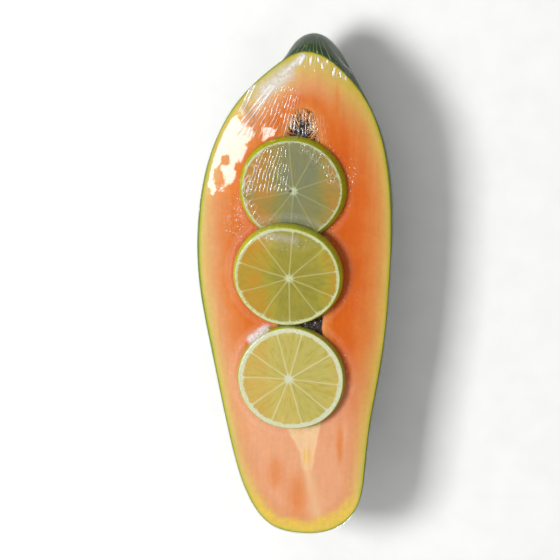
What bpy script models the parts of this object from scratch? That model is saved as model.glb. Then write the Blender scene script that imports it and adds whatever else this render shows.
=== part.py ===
"""Papaya half, cut lengthwise, with its seeds, three lime slices on the cut face and a stretched clear film.

The half lies on its rounded back with the cut face up. +Y runs from the stem end to the pointed blossom end,
+X is to the right of the cut face and Z = 0 is the small flat spot that it rests on.
Every dimension is in millimetres until write_mesh scales it to metres.
"""

import math

import bmesh
import bpy
import numpy as np
from mathutils import Matrix

MM = 0.001
GAP = 0.3  # air between touching pieces

# Fruit, seen from above: corners of the cut outline, clockwise from the blossom end. After x and y come
# how far the fruit's widest level stands out past that corner, and how deep that level lies below the cut.
OUTLINE = (
    (7.6, 119.0, 7.7, 14.0),
    (15.2, 116.6, 5.7, 14.0),
    (24.0, 110.0, 1.8, 12.0),
    (32.6, 100.4, -0.6, 8.0),
    (40.0, 87.5, -0.7, 4.5),
    (47.3, 58.0, 0.5, 2.4),
    (48.4, 10.0, 0.0, 1.8),
    (44.0, -39.0, 0.2, 1.2),
    (39.2, -68.0, 0.1, 0.8),
    (36.6, -94.0, 0.0, 0.6),
    (31.0, -116.0, 0.0, 0.6),
    (19.0, -125.4, 0.0, 0.6),
    (4.0, -127.6, 0.0, 0.6),
    (-11.0, -124.0, 0.0, 0.6),
    (-22.5, -109.8, 0.0, 0.6),
    (-31.0, -84.0, 0.1, 0.7),
    (-41.0, -34.0, 0.5, 1.2),
    (-47.4, 7.0, 0.9, 1.8),
    (-47.0, 38.0, 0.9, 2.4),
    (-41.5, 67.0, 0.5, 4.0),
    (-30.5, 90.0, -0.2, 6.5),
    (-20.8, 101.6, -0.8, 8.5),
    (-12.5, 109.0, -0.9, 10.5),
    (-5.5, 114.4, 0.4, 12.2),
    (1.0, 118.0, 4.7, 13.5),
)
STEM_CORNER = 12  # the corner of OUTLINE at the stem end
STATIONS = 44  # steps from the blossom end to the stem end, on each side

# Fruit, from the side.
WIDEST_Y = 22.0
LOWEST_Y = 4.0  # under the balance point, so that the half lies steady
SPINE_STEM_Y = -86.0  # the two ends of the centre line that every section is drawn about
SPINE_TIP_Y = 56.0
SPINE_BOW = 4.2  # sideways bow of the centre line over SPINE_REACH
SPINE_REACH = 100.0
BELLY_DEPTH = 50.4  # cut face to the bottom, at the lowest place
STEM_DEPTH = 37.0
TIP_DEPTH = 49.0
FLAT_SPOT = 0.8  # how much of the bottom the rest spot levels
SHOULDER_SHARE = 0.55  # height of the ring between the widest level and the cut edge
RIND_ANGLES = (12, 26, 40, 53, 65, 74, 80)  # degrees below the widest level

# Seed cavity.
CAVITY_TIP_Y = 90.0
CAVITY_STEM_Y = -70.0
CAVITY_HALF_WIDTH = 11.6
CAVITY_DEPTH = 17.0
CAVITY_X = 3.0
CAVITY_BOW = 4.5
CAVITY_SKEW = 0.92  # below 1, the cavity is fullest a little towards the stem end
CAVITY_TAPER = 0.3  # below 1, its ends are blunt
CAVITY_RINGS = (1.0, 0.93, 0.78, 0.5, 0.0)
SEED_TOP = 1.9  # mean depth of the seeds below the cut face
SEED_RELIEF = 0.7
SEED_PITCH = (5.5, 9.35)  # spacing of the bumps that the seeds make, across and along
SEED_ROOM = 0.8  # the top of the heap stays above this share of the cavity's depth
SEED_TOP_RINGS = (0.0, 0.35, 0.65, 0.9)

# Lime slices: centre on the cut face, radius of the lower face, how much smaller the upper face is.
SLICE_THICKNESS = 4.6
SLICE_SEGMENTS = 44
SLICE_BEVEL = 0.5
SLICES = (
    {"centre": (-0.3, 51.4), "radius": 26.9, "flare": 2.0, "oval": 0.98},
    {"centre": (-2.1, 8.9), "radius": 27.6, "flare": 1.2, "oval": 0.96},
    {"centre": (-0.6, -44.8), "radius": 27.3, "flare": 0.5, "oval": 0.98},
)

# Film.
FILM_WALL = 0.3
FILM_EDGE_ANGLE = 70.0  # degrees below the widest level where the gathered edge stops
FILM_PLATEAU = 29.0  # half width of the film's raised strip over the slices
FILM_STRIP_LIMIT = 0.72  # the strip never takes more of the way out to the cut edge
FILM_TOP_RINGS = (2.0, 1.5, 1.0, 0.5, 0.0)  # 2 is the cut edge, 1 the strip's edge, 0 the middle
FILM_RIDGE = (  # height of the film over the cut face along the middle, from the stem end
    (-127.6, 0.3),
    (-74.5, 5.9),
    (-20.0, 6.9),
    (37.0, 11.6),
    (80.5, 5.9),
    (119.0, 0.3),
)

SHARP_ANGLE = 35.0
LOOKS = {  # linear colour and roughness of each kind of piece
    "flesh": ((0.78, 0.24, 0.06), 0.45),
    "seeds": ((0.03, 0.02, 0.016), 0.35),
    "lime": ((0.47, 0.45, 0.09), 0.4),
    "film": ((0.9, 0.92, 0.92), 0.08),
}


def smooth_step(t):
    t = np.clip(t, 0.0, 1.0)
    return t * t * (3 - 2 * t)


def closed_spline(corners, per_side):
    """Points of the smooth closed curve through the corners: a periodic cubic over the chord lengths in plan."""
    p = np.array(corners, float)
    count = len(p)
    chord = np.linalg.norm((np.roll(p, -1, 0) - p)[:, :2], axis=1)
    before = np.roll(chord, 1)
    slope = (np.roll(p, -1, 0) - p) / chord[:, None]
    system = np.diag(2 * (chord + before))
    for i in range(count):
        system[i, i - 1] += before[i]
        system[i, (i + 1) % count] += chord[i]
    bend = np.linalg.solve(system, 6 * (slope - np.roll(slope, 1, 0)))
    points = []
    for i in range(count):
        a, b, h = bend[i], bend[(i + 1) % count], chord[i]
        for t in np.arange(per_side) / per_side * h:
            rest = h - t
            points.append(
                (a * rest**3 + b * t**3) / (6 * h)
                + (p[i] / h - a * h / 6) * rest
                + (p[(i + 1) % count] / h - b * h / 6) * t
            )
    return np.array(points)


def even_steps(curve, steps):
    """The curve's points at equal steps along its length in plan."""
    step = np.linalg.norm(np.diff(curve[:, :2], axis=0), axis=1)
    along = np.concatenate([[0], np.cumsum(step)])
    wanted = np.linspace(0, along[-1], steps + 1)
    return np.column_stack([np.interp(wanted, along, column) for column in curve.T])


def outline_ring():
    """OUTLINE as one smooth ring: down the right side to the stem end and back up the left side."""
    per_side = 60
    curve = closed_spline(OUTLINE, per_side)
    stem = STEM_CORNER * per_side
    right = even_steps(curve[: stem + 1], STATIONS)
    left = even_steps(np.vstack([curve[stem:], curve[:1]]), STATIONS)
    return np.vstack([right, left[1:-1]])


def mirror_of(values):
    """For each point of a ring, the value at the point across the centre line."""
    return np.roll(values[::-1], 1, axis=0)


def outward(ring):
    """Unit normals of a clockwise ring, pointing away from it."""
    run = np.roll(ring, -1, 0) - np.roll(ring, 1, 0)
    normal = np.column_stack([-run[:, 1], run[:, 0]])
    return normal / np.linalg.norm(normal, axis=1)[:, None]


def spine_of(ring):
    """The centre line's point for each point of the ring: level with it, drawn in from both ends."""
    level = (ring[:, 1] + mirror_of(ring[:, 1])) / 2
    top, bottom = level.max(), level.min()
    toward_tip = (level - WIDEST_Y) / (top - WIDEST_Y) * (SPINE_TIP_Y - WIDEST_Y)
    toward_stem = (level - WIDEST_Y) / (WIDEST_Y - bottom) * (WIDEST_Y - SPINE_STEM_Y)
    y = WIDEST_Y + np.where(level > WIDEST_Y, toward_tip, toward_stem)
    x = SPINE_BOW * ((y - WIDEST_Y) / SPINE_REACH) ** 2
    return np.column_stack([x, y])


def depth_at(y):
    """Depth of the bottom line: level at its lowest place, easing off to both ends of the centre line."""
    to_tip = np.clip((y - LOWEST_Y) / (SPINE_TIP_Y - LOWEST_Y), 0, 1)
    to_stem = np.clip((LOWEST_Y - y) / (LOWEST_Y - SPINE_STEM_Y), 0, 1)
    toward_stem = (to_stem**2 + smooth_step(to_stem)) / 2
    return (
        BELLY_DEPTH
        - (BELLY_DEPTH - TIP_DEPTH) * smooth_step(to_tip)
        - (BELLY_DEPTH - STEM_DEPTH) * toward_stem
    )


def at_depth(plan, depth):
    """A plan ring with its depth below the cut face."""
    return np.column_stack([plan, -np.broadcast_to(depth, len(plan))])


class Fruit:
    """The rings that the fruit's skin and everything around it are drawn on."""

    def __init__(self):
        ring = outline_ring()
        self.cut = ring[:, :2]
        self.belly = self.cut + outward(self.cut) * ring[:, 2:3]
        self.sink = ring[:, 3]
        self.spine = spine_of(self.cut)
        self.depth = depth_at(self.spine[:, 1])
        self.level = BELLY_DEPTH - FLAT_SPOT
        middle = (self.belly.max(0) + self.belly.min(0)) / 2
        self.origin = np.array([middle[0], middle[1], -self.level])

    def rind_ring(self, degrees, grow=0.0):
        """The skin at that angle below its widest level, let out by grow."""
        angle = math.radians(degrees)
        edge = self.belly + outward(self.belly) * grow
        plan = self.spine + (edge - self.spine) * math.cos(angle)
        drop = self.sink + (self.depth + grow - self.sink) * math.sin(angle)
        return at_depth(plan, np.minimum(drop, self.level + grow))

    def shoulder_ring(self, share, grow=0.0):
        """The skin between its widest level (share 0) and the cut edge (share 1), curved like a parabola."""
        edge = self.cut + outward(self.cut) * grow
        widest = self.belly + outward(self.belly) * grow
        plan = edge + (widest - edge) * (1 - share * share)
        return at_depth(plan, self.sink * (1 - share) - grow * share)


def cavity_ring(fruit, share, depth_share, shrink=0.0):
    """A ring of the seed cavity, share of the way out to its edge."""
    spine_y = fruit.spine[:, 1]
    along = (spine_y - SPINE_STEM_Y) / (SPINE_TIP_Y - SPINE_STEM_Y)
    y = CAVITY_STEM_Y + shrink + (CAVITY_TIP_Y - CAVITY_STEM_Y - 2 * shrink) * along
    x = CAVITY_X + CAVITY_BOW * ((y - WIDEST_Y) / SPINE_REACH) ** 2
    fullness = np.sin(math.pi * np.clip(along, 0, 1) ** CAVITY_SKEW) ** CAVITY_TAPER
    side = np.ones(len(y))
    side[STATIONS + 1 :] = -1
    side[[0, STATIONS]] = 0
    half_width = np.maximum(CAVITY_HALF_WIDTH * fullness - shrink, 0)
    depth = np.maximum(CAVITY_DEPTH * fullness - shrink, 0)
    plan = np.column_stack([x + side * half_width * share, y])
    return at_depth(plan, depth * depth_share)


def round_depth(share):
    """Depth share of a half-round hollow at that share of the way out to its edge."""
    return math.sqrt(max(1 - share * share, 0))


def write_mesh(name, rings, origin, look):
    """One closed object through the rings. Where a ring has closed up on the centre line its points are merged."""
    mesh = bmesh.new()
    loops = []
    for ring in rings:
        loops.append([mesh.verts.new((point - origin) * MM) for point in ring])
    count = len(loops[0])
    for lower, upper in zip(loops, loops[1:]):
        for i in range(count):
            j = (i + 1) % count
            mesh.faces.new((lower[i], lower[j], upper[j], upper[i]))
    bmesh.ops.remove_doubles(mesh, verts=mesh.verts, dist=0.002 * MM)
    bmesh.ops.triangulate(mesh, faces=mesh.faces)
    bmesh.ops.recalc_face_normals(mesh, faces=mesh.faces)
    data = bpy.data.meshes.new(name)
    mesh.to_mesh(data)
    mesh.free()
    return place(name, data, look)


def place(name, data, look):
    data.shade_smooth()
    data.set_sharp_from_angle(angle=math.radians(SHARP_ANGLE))
    piece = bpy.data.objects.new(name, data)
    bpy.context.scene.collection.objects.link(piece)
    colour, roughness = LOOKS[look]
    material = bpy.data.materials.new(name)
    material.use_nodes = True
    shader = material.node_tree.nodes["Principled BSDF"]
    shader.inputs["Base Color"].default_value = (*colour, 1.0)
    shader.inputs["Roughness"].default_value = roughness
    shader.inputs["Metallic"].default_value = 0.0
    data.materials.append(material)
    return piece


def make_half(fruit):
    """The fruit: from the cavity's floor up to its edge, across the cut face and down round the rind."""
    rings = [cavity_ring(fruit, share, round_depth(share)) for share in reversed(CAVITY_RINGS)]
    rings.append(fruit.shoulder_ring(1.0))
    rings.append(fruit.shoulder_ring(SHOULDER_SHARE))
    rings.append(fruit.rind_ring(0))
    rings += [fruit.rind_ring(angle) for angle in RIND_ANGLES]
    rings.append(fruit.rind_ring(90))
    write_mesh("papaya_half", rings, fruit.origin, "flesh")


def make_seeds(fruit):
    """The heap of seeds that fills the cavity to just under the cut face."""
    rings = []
    for share in SEED_TOP_RINGS:
        ring = cavity_ring(fruit, share, 0.0, GAP)
        x, y = ring[:, 0], ring[:, 1]
        bumps = np.sin(x * 2 * math.pi / SEED_PITCH[0]) * np.cos(y * 2 * math.pi / SEED_PITCH[1])
        floor = cavity_ring(fruit, share, round_depth(share), GAP)[:, 2]
        top = -SEED_TOP + SEED_RELIEF * bumps
        ring[:, 2] = np.maximum(top, floor * SEED_ROOM)
        rings.append(ring)
    for share in CAVITY_RINGS[1:]:
        rings.append(cavity_ring(fruit, share, round_depth(share), GAP))
    write_mesh("seed_cluster", rings, fruit.origin, "seeds")


def slice_tilts():
    """The middle slice leans on the one towards the blossom end: its tilt, which lifts it clear of that edge."""
    upper, leaning = SLICES[0], SLICES[1]
    prop_y = upper["centre"][1] - (upper["radius"] - upper["flare"]) * upper["oval"]
    foot_y = leaning["centre"][1] - leaning["radius"] * leaning["oval"]
    rise = SLICE_THICKNESS + GAP
    return (0.0, math.asin(rise / (prop_y - foot_y)), 0.0)


def make_slice(fruit, index, spec, tilt):
    """A round slice: its rim is the lime's own curve, so the upper face is a little smaller."""
    mesh = bmesh.new()
    bmesh.ops.create_cone(
        mesh,
        cap_ends=True,
        segments=SLICE_SEGMENTS,
        radius1=spec["radius"] * MM,
        radius2=(spec["radius"] - spec["flare"]) * MM,
        depth=SLICE_THICKNESS * MM,
    )
    rims = [e for e in mesh.edges if abs(e.verts[0].co.z - e.verts[1].co.z) < GAP * MM]
    bmesh.ops.bevel(mesh, geom=rims, offset=SLICE_BEVEL * MM, segments=1, affect="EDGES")
    bmesh.ops.scale(mesh, vec=(1.0, spec["oval"], 1.0), verts=mesh.verts)
    # The slice turns about its own lowest edge, so that edge stays on the cut face.
    foot = spec["radius"] * spec["oval"] * MM
    bmesh.ops.translate(mesh, vec=(0, foot, SLICE_THICKNESS / 2 * MM), verts=mesh.verts)
    bmesh.ops.rotate(mesh, matrix=Matrix.Rotation(tilt, 3, "X"), verts=mesh.verts)
    bmesh.ops.translate(mesh, vec=(0, -foot, 0), verts=mesh.verts)
    bmesh.ops.triangulate(mesh, faces=mesh.faces)
    data = bpy.data.meshes.new(f"lime_slice_{index}")
    mesh.to_mesh(data)
    mesh.free()
    piece = place(f"lime_slice_{index}", data, "lime")
    centre = np.array([*spec["centre"], GAP]) - fruit.origin
    piece.location = centre * MM


def film_ring(fruit, share, wall):
    """A ring of the film over the cut face: a raised strip over the slices that falls straight to the cut edge."""
    edge = fruit.cut + outward(fruit.cut) * (GAP + wall)
    reach = np.linalg.norm(edge - fruit.spine, axis=1)
    strip = np.minimum(FILM_PLATEAU / reach, FILM_STRIP_LIMIT)
    inward = strip * min(share, 1) + (1 - strip) * max(share - 1, 0)
    plan = fruit.spine + (edge - fruit.spine) * inward[:, None]
    ridge = np.array(FILM_RIDGE)
    height = np.interp(plan[:, 1], ridge[:, 0], ridge[:, 1])
    fall = np.clip((1 - inward) / (1 - strip), 0, 1)
    lift = GAP + (height - GAP) * fall + wall
    return np.column_stack([plan, lift])


def make_film(fruit):
    """The stretched film: a thin wall round the fruit, tented over the slices and open on the underside."""
    angles = [FILM_EDGE_ANGLE] + [a for a in reversed(RIND_ANGLES) if a < FILM_EDGE_ANGLE] + [0]
    skins = []
    for wall in (0.0, FILM_WALL):
        rings = [fruit.rind_ring(angle, GAP + wall) for angle in angles]
        rings.append(fruit.shoulder_ring(SHOULDER_SHARE, GAP + wall))
        rings += [film_ring(fruit, share, wall) for share in FILM_TOP_RINGS]
        skins.append(rings)
    inner, outer = skins
    write_mesh("cling_film", inner[::-1] + outer, fruit.origin, "film")


def clear_scene():
    for piece in list(bpy.data.objects):
        bpy.data.objects.remove(piece)


def main():
    clear_scene()
    fruit = Fruit()
    make_half(fruit)
    make_seeds(fruit)
    for index, (spec, tilt) in enumerate(zip(SLICES, slice_tilts()), start=1):
        make_slice(fruit, index, spec, tilt)
    make_film(fruit)


main()
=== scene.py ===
import math

import bmesh
import bpy
import numpy as np
from mathutils import Matrix, Vector


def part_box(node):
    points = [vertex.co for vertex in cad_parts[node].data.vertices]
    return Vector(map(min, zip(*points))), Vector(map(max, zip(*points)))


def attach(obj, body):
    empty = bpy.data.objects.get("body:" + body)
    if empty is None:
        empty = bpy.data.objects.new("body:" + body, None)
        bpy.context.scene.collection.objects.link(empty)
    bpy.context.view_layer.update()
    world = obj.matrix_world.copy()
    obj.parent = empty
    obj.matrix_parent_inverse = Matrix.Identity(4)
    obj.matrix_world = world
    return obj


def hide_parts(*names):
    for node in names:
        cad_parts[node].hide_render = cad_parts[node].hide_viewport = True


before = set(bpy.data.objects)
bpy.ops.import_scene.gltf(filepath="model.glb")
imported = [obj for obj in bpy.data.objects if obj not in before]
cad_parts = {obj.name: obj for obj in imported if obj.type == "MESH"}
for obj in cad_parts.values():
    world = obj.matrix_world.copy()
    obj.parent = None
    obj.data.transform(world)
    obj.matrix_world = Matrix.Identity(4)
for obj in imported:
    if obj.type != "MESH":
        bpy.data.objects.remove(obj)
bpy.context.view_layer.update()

# A papaya half under stretched clear film, with three lime slices on its cut face.
# Lengths are metres in the row frame, and mm turns the millimetres of the dictionaries into them.
mm = 0.001
fruitLow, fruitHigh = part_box("papaya_half")
cutHeight = fruitHigh.z  # the cut face is level


# ---- small tools

def smoothStep(low, high, values):
    t = np.clip((values - low) / (high - low), 0, 1)
    return t * t * (3 - 2 * t)


def valueNoise(points, pitch, seed, octaves=3):
    # Smooth noise in -1..1: random heights on a lattice of that pitch, blended, plus finer and weaker copies.
    total = np.zeros(len(points))
    weight = 1.0
    whole = 0.0
    for octave in range(octaves):
        cell = points / (pitch / 2**octave)
        base = np.floor(cell).astype(np.int64)
        part = cell - base
        part = part * part * (3 - 2 * part)
        level = np.zeros(len(points))
        for corner in range(2 ** points.shape[1]):
            offset = np.array([(corner >> axis) & 1 for axis in range(points.shape[1])])
            share = np.prod(np.where(offset == 1, part, 1 - part), axis=1)
            level += share * latticeValue(base + offset, seed + octave)
        total += weight * level
        whole += weight
        weight *= 0.5
    return total / whole


def latticeValue(cells, seed):
    # A repeatable number in -1..1 for each lattice cell, from mixed whole-number products.
    key = np.full(len(cells), seed * 7919 + 17, np.int64)
    for axis, prime in zip(range(cells.shape[1]), (73856093, 19349663, 83492791)):
        key ^= cells[:, axis] * prime
    key = (key ^ (key >> 13)) * 1274126177
    return ((key >> 8) & 0xFFFF) / 32767.5 - 1


def toLinear(hexText):
    # sRGB hex to the linear colour that shaders take.
    parts = [int(hexText[i : i + 2], 16) / 255 for i in (1, 3, 5)]
    return [p / 12.92 if p <= 0.04045 else ((p + 0.055) / 1.055) ** 2.4 for p in parts] + [1.0]


def addNode(tree, kind, links=None, stops=None, out=0, **settings):
    # One node: its settings by name, its sockets by a dictionary of values or of other nodes' outputs.
    node = tree.nodes.new("ShaderNode" + kind)
    for name, value in settings.items():
        setattr(node, name, value)
    if stops:
        ramp = node.color_ramp
        while len(ramp.elements) < len(stops):
            ramp.elements.new(1.0)
        for element, (place, colour) in zip(ramp.elements, stops):
            element.position = place
            element.color = toLinear(colour) if isinstance(colour, str) else [colour] * 3 + [1.0]
    for name, value in (links or {}).items():
        socket = node.inputs[name]
        if isinstance(value, bpy.types.NodeSocket):
            tree.links.new(value, socket)
        else:
            socket.default_value = toLinear(value) if isinstance(value, str) else value
    return node.outputs[out] if node.outputs else node


def calc(tree, operation, *values, **settings):
    # Arithmetic on one to three numbers.
    return addNode(tree, "Math", dict(enumerate(values)), operation=operation, **settings)


def blend(tree, share, under, over, kind="MIX"):
    # One colour laid over another by a share.
    return addNode(tree, "Mix", {0: share, 6: under, 7: over}, out=2, data_type="RGBA", blend_type=kind)


def ramp(tree, place, *stops):
    # Colours or greys at stops between 0 and 1.
    return addNode(tree, "ValToRGB", {"Fac": place}, stops=stops)


def noise(tree, place, scale, detail, roughness=0.5):
    return addNode(tree, "TexNoise", {"Vector": place, "Scale": scale, "Detail": detail, "Roughness": roughness})


def spread(tree, value, low, high, **settings):
    # 0 at the first level of the value and 1 at the second.
    return addNode(tree, "MapRange", {"Value": value, "From Min": low, "From Max": high}, **settings)


def newMaterial(name, *labels):
    # An empty material, with the outputs of the attributes that it reads and the object's own coordinates.
    material = bpy.data.materials.new(name)
    material.use_nodes = True
    tree = material.node_tree
    tree.nodes.clear()
    value = {label: addNode(tree, "Attribute", out="Fac", attribute_name=label) for label in labels}
    value["place"] = addNode(tree, "TexCoord", out="Object")
    return material, tree, value


def ringFaces(ringCount, around):
    # Quads between each ring and the next, closed round the ring.
    ring = np.arange(ringCount - 1)[:, None] * around
    step = np.arange(around)[None, :]
    ahead = (step + 1) % around
    quads = np.stack([ring + step, ring + ahead, ring + around + ahead, ring + around + step], -1)
    return quads.reshape(-1, 4)


def makePiece(name, points, faces, materials, values=None, faceMaterial=None, flip=False):
    # A mesh object from arrays, with its doubled points merged and its faces turned outwards.
    mesh = bpy.data.meshes.new(name)
    points = np.asarray(points, np.float32).reshape(-1, 3)
    faces = np.asarray(faces, np.int32)
    if flip:
        faces = faces[:, ::-1]
    sides = faces.shape[1]
    mesh.vertices.add(len(points))
    mesh.vertices.foreach_set("co", points.ravel())
    mesh.loops.add(faces.size)
    mesh.loops.foreach_set("vertex_index", faces.ravel())
    mesh.polygons.add(len(faces))
    mesh.polygons.foreach_set("loop_start", np.arange(0, faces.size, sides, dtype=np.int32))
    mesh.polygons.foreach_set("loop_total", np.full(len(faces), sides, np.int32))
    if faceMaterial is not None:
        mesh.polygons.foreach_set("material_index", np.asarray(faceMaterial, np.int32))
    mesh.update(calc_edges=True)
    for label, numbers in (values or {}).items():
        layer = mesh.attributes.new(label, "FLOAT", "POINT")
        layer.data.foreach_set("value", np.asarray(numbers, np.float32).ravel())
    work = bmesh.new()
    work.from_mesh(mesh)
    bmesh.ops.remove_doubles(work, verts=work.verts, dist=0.002 * mm)
    bmesh.ops.recalc_face_normals(work, faces=work.faces)
    work.to_mesh(mesh)
    work.free()
    mesh.shade_smooth()
    for material in materials:
        mesh.materials.append(material)
    piece = bpy.data.objects.new(name, mesh)
    bpy.context.scene.collection.objects.link(piece)
    return piece


# ---- the fruit's outlines, as in the construction

fruit = {
    # Corners of the cut outline in mm, clockwise from the blossom end. After x and y: how far the fruit's
    # widest level stands out past that corner, and how deep that level lies below the cut.
    "corners": (
        (7.6, 119.0, 7.7, 14.0), (15.2, 116.6, 5.7, 14.0), (24.0, 110.0, 1.8, 12.0), (32.6, 100.4, -0.6, 8.0),
        (40.0, 87.5, -0.7, 4.5), (47.3, 58.0, 0.5, 2.4), (48.4, 10.0, 0.0, 1.8), (44.0, -39.0, 0.2, 1.2),
        (39.2, -68.0, 0.1, 0.8), (36.6, -94.0, 0.0, 0.6), (31.0, -116.0, 0.0, 0.6), (19.0, -125.4, 0.0, 0.6),
        (4.0, -127.6, 0.0, 0.6), (-11.0, -124.0, 0.0, 0.6), (-22.5, -109.8, 0.0, 0.6), (-31.0, -84.0, 0.1, 0.7),
        (-41.0, -34.0, 0.5, 1.2), (-47.4, 7.0, 0.9, 1.8), (-47.0, 38.0, 0.9, 2.4), (-41.5, 67.0, 0.5, 4.0),
        (-30.5, 90.0, -0.2, 6.5), (-20.8, 101.6, -0.8, 8.5), (-12.5, 109.0, -0.9, 10.5), (-5.5, 114.4, 0.4, 12.2),
        (1.0, 118.0, 4.7, 13.5),
    ),
    "stemCorner": 12,
    "stations": 220,  # steps down each side
    "widestY": 22.0,
    "lowestY": 4.0,
    "spine": (-86.0, 56.0),  # ends of the centre line
    "spineBow": 4.2,
    "bowReach": 100.0,
    "depth": (37.0, 50.4, 49.0),  # stem end, lowest place, blossom end
    "flatSpot": 0.8,
    "cavityY": (-70.0, 90.0),
    "cavityHalfWidth": 11.6,
    "cavityDepth": 17.0,
    "cavityX": 3.0,
    "cavityBow": 4.5,
    "cavitySkew": 0.92,  # below 1, the cavity is fullest a little towards the stem end
    "cavityTaper": 0.3,  # below 1, its ends are blunt
}


def closedSpline(corners, perSide):
    # Periodic cubic through the corners over their chord lengths in plan: the bends come from one linear system.
    p = np.array(corners, float)
    count = len(p)
    chord = np.linalg.norm((np.roll(p, -1, 0) - p)[:, :2], axis=1)
    before = np.roll(chord, 1)
    slope = (np.roll(p, -1, 0) - p) / chord[:, None]
    index = np.arange(count)
    system = np.diag(2 * (chord + before))
    system[index, index - 1] += before
    system[index, (index + 1) % count] += chord
    bend = np.linalg.solve(system, 6 * (slope - np.roll(slope, 1, 0)))
    t = (np.arange(perSide) / perSide)[None, :, None] * chord[:, None, None]
    h = chord[:, None, None]
    a, b = bend[:, None, :], np.roll(bend, -1, 0)[:, None, :]
    start, end = p[:, None, :], np.roll(p, -1, 0)[:, None, :]
    rest = h - t
    curve = (a * rest**3 + b * t**3) / (6 * h) + (start / h - a * h / 6) * rest + (end / h - b * h / 6) * t
    return curve.reshape(-1, p.shape[1])


def evenSteps(curve, steps):
    # The curve again, in steps of equal length in plan.
    along = np.concatenate([[0], np.cumsum(np.linalg.norm(np.diff(curve[:, :2], axis=0), axis=1))])
    wanted = np.linspace(0, along[-1], steps + 1)
    return np.column_stack([np.interp(wanted, along, column) for column in curve.T])


def outward(ring):
    # Unit vectors in plan that point out of a clockwise ring.
    run = np.roll(ring, -1, 0) - np.roll(ring, 1, 0)
    normal = np.column_stack([-run[:, 1], run[:, 0]])
    return normal / np.linalg.norm(normal, axis=1)[:, None]


def across(values):
    # For each point of a ring, the value at the point across the centre line.
    return np.roll(values[::-1], 1, axis=0)


def fruitOutlines(stations):
    # The cut outline, the widest outline below it, the centre line that sections are drawn about, and their depths.
    perSide = 80
    curve = closedSpline(fruit["corners"], perSide)
    stem = fruit["stemCorner"] * perSide
    right = evenSteps(curve[: stem + 1], stations)
    left = evenSteps(np.vstack([curve[stem:], curve[:1]]), stations)
    ring = np.vstack([right, left[1:-1]])
    cut = ring[:, :2]
    belly = cut + outward(cut) * ring[:, 2:3]
    level = (cut[:, 1] + across(cut[:, 1])) / 2
    stemY, tipY = fruit["spine"]
    wide = fruit["widestY"]
    towardTip = (level - wide) / (level.max() - wide) * (tipY - wide)
    towardStem = (level - wide) / (wide - level.min()) * (wide - stemY)
    y = wide + np.where(level > wide, towardTip, towardStem)
    spine = np.column_stack([fruit["spineBow"] * ((y - wide) / fruit["bowReach"]) ** 2, y])
    stemDepth, lowestDepth, tipDepth = fruit["depth"]
    low = fruit["lowestY"]
    toTip = np.clip((y - low) / (tipY - low), 0, 1)
    toStem = np.clip((low - y) / (low - stemY), 0, 1)
    easing = (toStem**2 + smoothStep(0, 1, toStem)) / 2
    depth = lowestDepth - (lowestDepth - tipDepth) * smoothStep(0, 1, toTip) - (lowestDepth - stemDepth) * easing
    side = np.ones(len(cut))
    side[stations + 1 :] = -1
    side[[0, stations]] = 0
    return {"cut": cut, "belly": belly, "spine": spine, "depth": depth, "sink": ring[:, 3], "side": side}


outlines = fruitOutlines(fruit["stations"])
around = len(outlines["cut"])
fruitMiddle = (outlines["belly"].max(0) + outlines["belly"].min(0)) / 2
fruitCentre = np.array([(fruitLow.x + fruitHigh.x) / 2, (fruitLow.y + fruitHigh.y) / 2])


def toRow(plan, height):
    # Plan in fruit millimetres and height over the cut face in millimetres, to metres in the row frame.
    height = np.broadcast_to(height, len(plan))
    xy = (plan - fruitMiddle) * mm + fruitCentre
    return np.column_stack([xy, cutHeight + height * mm])


def rindRing(lines, degrees, grow=0.0):
    # The skin at that angle below its widest level, let out by grow.
    angle = math.radians(degrees)
    edge = lines["belly"] + outward(lines["belly"]) * grow
    plan = lines["spine"] + (edge - lines["spine"]) * math.cos(angle)
    drop = lines["sink"] + (lines["depth"] + grow - lines["sink"]) * math.sin(angle)
    level = fruit["depth"][1] - fruit["flatSpot"]
    return plan, -np.minimum(drop, level + grow)


def shoulderRing(lines, share, grow=0.0):
    # The skin between its widest level (share 0) and the cut edge (share 1).
    edge = lines["cut"] + outward(lines["cut"]) * grow
    widest = lines["belly"] + outward(lines["belly"]) * grow
    plan = edge + (widest - edge) * (1 - share * share)
    return plan, -lines["sink"] * (1 - share) + grow * share


def cavityMiddle(y):
    # The cavity's centre line bows a little to the right towards both ends.
    return fruit["cavityX"] + fruit["cavityBow"] * ((y - fruit["widestY"]) / fruit["bowReach"]) ** 2


def cavityEdge(lines):
    # The seed cavity's outline on the cut face, long with blunt ends, at equal steps down each side.
    low, high = fruit["cavityY"]
    along = (1 + np.cos(np.linspace(0, math.pi, 600))) / 2
    y = low + (high - low) * along
    fullness = np.abs(np.sin(math.pi * along ** fruit["cavitySkew"])) ** fruit["cavityTaper"]
    half = fruit["cavityHalfWidth"] * fullness
    stations = len(lines["cut"]) // 2
    right = evenSteps(np.column_stack([cavityMiddle(y) + half, y]), stations)
    left = evenSteps(np.column_stack([cavityMiddle(y) - half, y])[::-1], stations)
    return np.vstack([right, left[1:-1]])


def cavityBowl(edge, share):
    # A ring of the half-round bowl under that outline, share of the way out from its centre line.
    middle = cavityMiddle(edge[:, 1])
    half = edge[:, 0] - middle
    depth = fruit["cavityDepth"] * np.abs(half) / fruit["cavityHalfWidth"] * math.sqrt(max(1 - share * share, 0))
    return np.column_stack([middle + half * share, edge[:, 1]]), -depth


def distanceTo(curve, points):
    # Distance of each point to a closed curve of many short steps.
    result = np.empty(len(points), np.float32)
    curve = curve.astype(np.float32)
    for part in range(0, len(points), 4000):
        gap = points[part : part + 4000, None, :].astype(np.float32) - curve[None]
        result[part : part + 4000] = np.sqrt((gap**2).sum(-1).min(1))
    return result


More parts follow.
